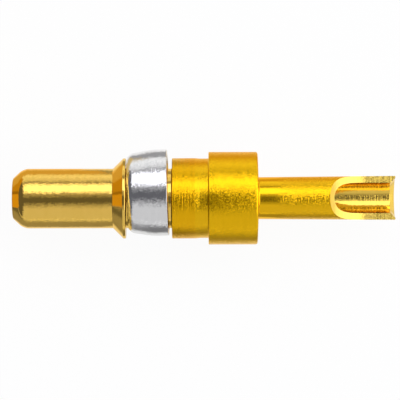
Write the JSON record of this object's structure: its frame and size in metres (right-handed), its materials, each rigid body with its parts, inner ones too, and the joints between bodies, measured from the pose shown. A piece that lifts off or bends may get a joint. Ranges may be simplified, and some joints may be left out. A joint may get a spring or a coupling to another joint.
{
  "type": "d-sub power contact with solder cup",
  "caption": "Turned male power contact for a D-shaped connector: round pin, conical collar, split retaining clip, stop flange and a tail with an open solder cup.",
  "frame": {"origin": "on the axis, in the plane of the flange's front face, which stops against the insulator", "axes": "+X along the axis towards the solder cup, -X towards the nose of the pin, +Z out of the open side of the cup"},
  "size_m": [0.0231, 0.0058, 0.0056],
  "materials": {
    "gold_plating": "bright gold plating on turned copper alloy, polished on the pin and finely ring-marked behind it",
    "nickel_clip": "bright nickel on spring strip, with a fine rolled grain"
  },
  "bodies": {
    "root": {"contact_body": "gold_plating", "retaining_clip": "nickel_clip"}
  },
  "joints": []
}
